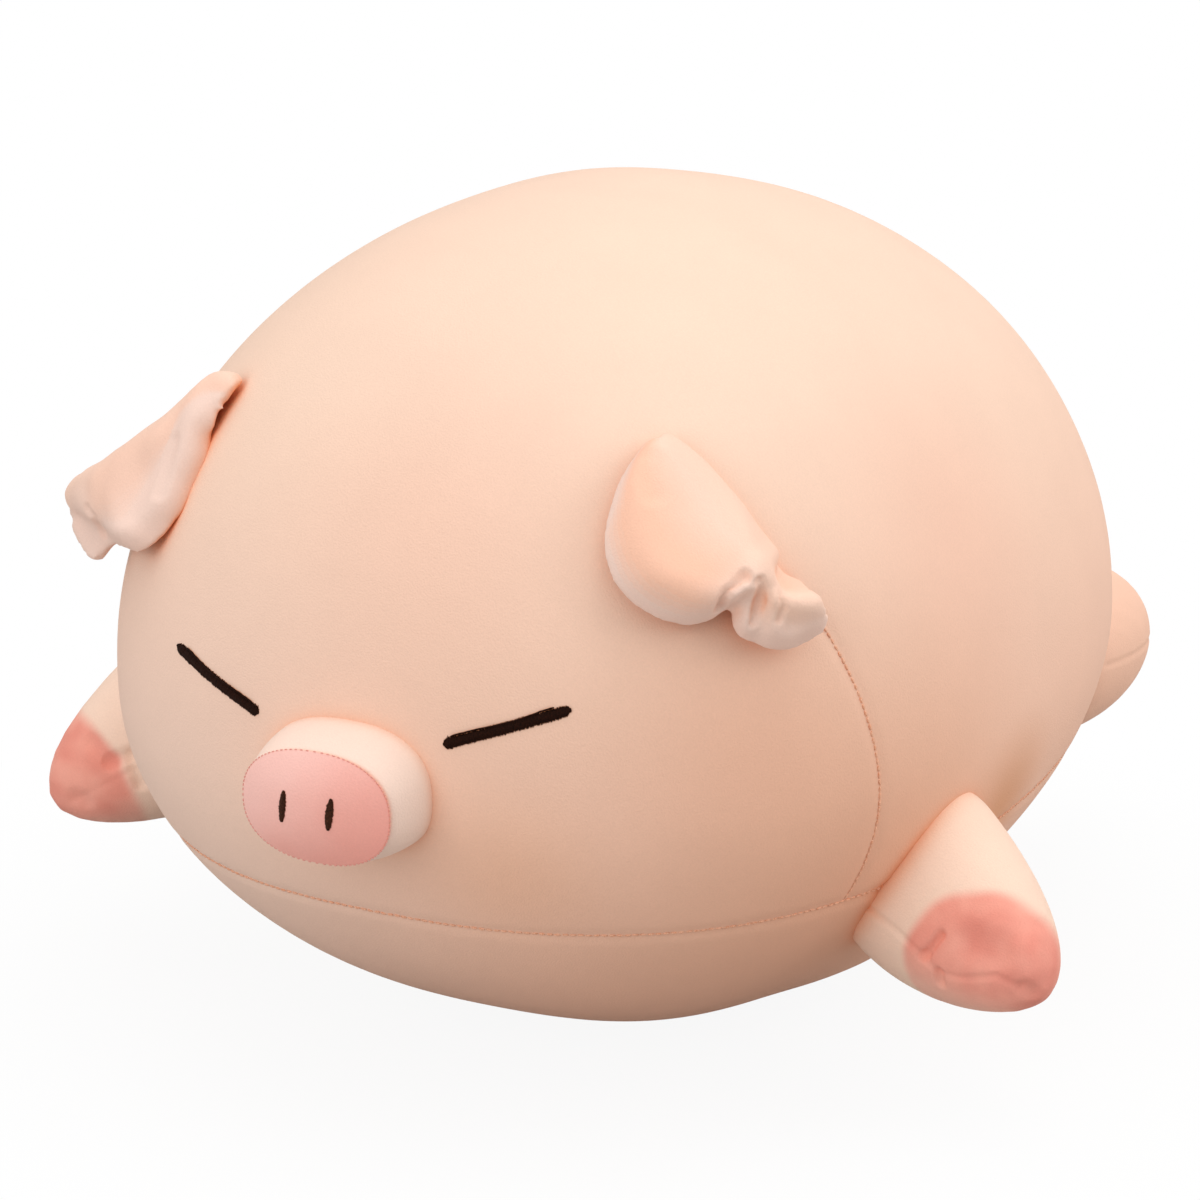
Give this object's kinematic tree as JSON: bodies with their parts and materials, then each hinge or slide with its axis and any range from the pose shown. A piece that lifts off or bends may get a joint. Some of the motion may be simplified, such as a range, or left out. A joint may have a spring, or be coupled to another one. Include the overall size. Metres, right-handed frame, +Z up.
{
  "type": "plush pig",
  "caption": "Soft stuffed toy pig lying on its belly, with a plump egg-shaped body, flat round snout, drooping ears, stubby legs and a curled tail.",
  "frame": {"origin": "middle of the flat patch of belly that the pig rests on, under the crown of the body", "axes": "+Y from snout to tail, +Z up, +X towards the pig's left side"},
  "size_m": [0.443, 0.511, 0.326],
  "materials": {
    "skin": "short-pile velour, very soft matt",
    "snout": "short-pile velour, very soft matt",
    "filling": "loose white fibre",
    "embroidery": "satin stitch thread",
    "thread": "sewing thread, raised stitches"
  },
  "bodies": {
    "torso": {"body_upper_skin": "skin", "body_belly_skin": "skin", "body_filling": "filling", "snout_side_band": "skin", "snout_front_panel": "snout", "snout_filling": "filling", "nostril_left": "embroidery", "nostril_right": "embroidery", "eye_left": "embroidery", "eye_right": "embroidery", "belly_seam_front": "thread", "belly_seam_back": "thread", "belly_seam_left": "thread", "belly_seam_right": "thread", "dart_seam_left": "thread", "dart_seam_right": "thread"},
    "ear_left": {"ear_left_outer_panel": "skin", "ear_left_inner_panel": "skin", "ear_left_wadding": "filling"},
    "ear_right": {"ear_right_outer_panel": "skin", "ear_right_inner_panel": "skin", "ear_right_wadding": "filling"},
    "front_leg_left": {"front_leg_left_upper_panel": "skin", "front_leg_left_lower_panel": "skin", "front_leg_left_filling": "filling"},
    "front_leg_right": {"front_leg_right_upper_panel": "skin", "front_leg_right_lower_panel": "skin", "front_leg_right_filling": "filling"},
    "hind_leg_left": {"hind_leg_left_upper_panel": "skin", "hind_leg_left_lower_panel": "skin", "hind_leg_left_filling": "filling"},
    "hind_leg_right": {"hind_leg_right_upper_panel": "skin", "hind_leg_right_lower_panel": "skin", "hind_leg_right_filling": "filling"},
    "tail": {"tail_skin": "skin", "tail_filling": "filling"}
  },
  "joints": [
    {"name": "ear_left_lift", "type": "hinge", "parent": "torso", "child": "ear_left", "pos_m": [0.11389, -0.14101, 0.2399], "axis": [-0.6851, -0.1409, 0.7147], "range_deg": [0, 45], "stiffness_Nm_per_rad": 0.05},
    {"name": "ear_right_lift", "type": "hinge", "parent": "torso", "child": "ear_right", "pos_m": [-0.11389, -0.14101, 0.2399], "axis": [-0.6851, 0.1409, -0.7147], "range_deg": [0, 45], "stiffness_Nm_per_rad": 0.05},
    {"name": "front_leg_left_sway", "type": "hinge", "parent": "torso", "child": "front_leg_left", "pos_m": [0.15756, -0.05461, 0.0753], "axis": [0.2579, -0.7855, 0.5626], "range_deg": [-15, 15], "stiffness_Nm_per_rad": 0.3},
    {"name": "front_leg_right_sway", "type": "hinge", "parent": "torso", "child": "front_leg_right", "pos_m": [-0.15756, -0.05461, 0.0753], "axis": [0.2579, 0.7855, -0.5626], "range_deg": [-15, 15], "stiffness_Nm_per_rad": 0.3},
    {"name": "hind_leg_left_sway", "type": "hinge", "parent": "torso", "child": "hind_leg_left", "pos_m": [0.1021, 0.19751, 0.09169], "axis": [-0.3534, 0.7001, 0.6205], "range_deg": [-15, 15], "stiffness_Nm_per_rad": 0.3},
    {"name": "hind_leg_right_sway", "type": "hinge", "parent": "torso", "child": "hind_leg_right", "pos_m": [-0.1021, 0.19751, 0.09169], "axis": [-0.3534, -0.7001, -0.6205], "range_deg": [-15, 15], "stiffness_Nm_per_rad": 0.3},
    {"name": "tail_swing", "type": "hinge", "parent": "torso", "child": "tail", "pos_m": [0, 0.23031, 0.17738], "axis": [0, 0, 1], "range_deg": [-25, 25], "stiffness_Nm_per_rad": 0.05}
  ]
}
